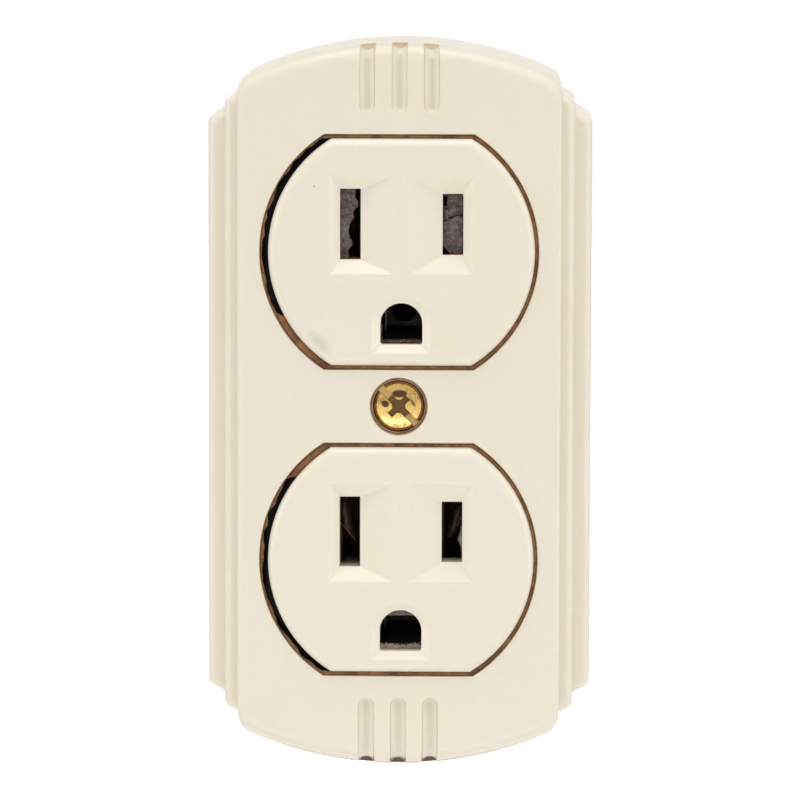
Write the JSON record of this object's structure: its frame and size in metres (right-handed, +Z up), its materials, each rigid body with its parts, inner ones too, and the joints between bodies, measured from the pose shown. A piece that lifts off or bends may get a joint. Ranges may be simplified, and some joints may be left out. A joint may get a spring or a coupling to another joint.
{
  "type": "surface mount duplex outlet",
  "caption": "Ivory surface mount duplex outlet with a stepped two-part case, grounded receptacle faces and one brass cover screw.",
  "frame": {"origin": "middle of the base's flat back, where it lies on the wall", "axes": "+Z up the wall, -Y out of the wall towards the viewer, +X to the right as seen from the front"},
  "size_m": [0.0492, 0.0313, 0.092],
  "materials": {
    "ivory_case": "moulded, satin gloss",
    "ivory_face": "moulded, satin gloss",
    "brown_phenolic": "moulded, matt",
    "contact_brass": "stamped, tarnished",
    "tinned_brass": "tinned, dull",
    "screw_brass": "satin",
    "nickel_plate": "nickel plated",
    "zinc_steel": "zinc plated",
    "green_steel": "green passivated"
  },
  "bodies": {
    "root": {"front_cover": "ivory_case", "rear_base": "ivory_case", "receptacle_face_upper": "ivory_face", "receptacle_face_lower": "ivory_face", "receptacle_body": "brown_phenolic", "mounting_strap": "zinc_steel", "hot_contact": "contact_brass", "neutral_contact": "contact_brass", "ground_contact_upper": "tinned_brass", "ground_contact_lower": "tinned_brass", "cover_screw": "screw_brass", "cover_screw_nut": "zinc_steel", "hot_terminal_screw_upper": "screw_brass", "hot_terminal_screw_lower": "screw_brass", "neutral_terminal_screw_upper": "nickel_plate", "neutral_terminal_screw_lower": "nickel_plate", "ground_terminal_screw": "green_steel", "strap_screw_upper": "zinc_steel", "strap_screw_lower": "zinc_steel", "assembly_rivet_left": "zinc_steel", "assembly_rivet_right": "zinc_steel", "ground_rivet_upper": "zinc_steel", "ground_rivet_lower": "zinc_steel", "cable_clamp": "zinc_steel", "clamp_screw_left": "zinc_steel", "clamp_screw_right": "zinc_steel"}
  },
  "joints": []
}
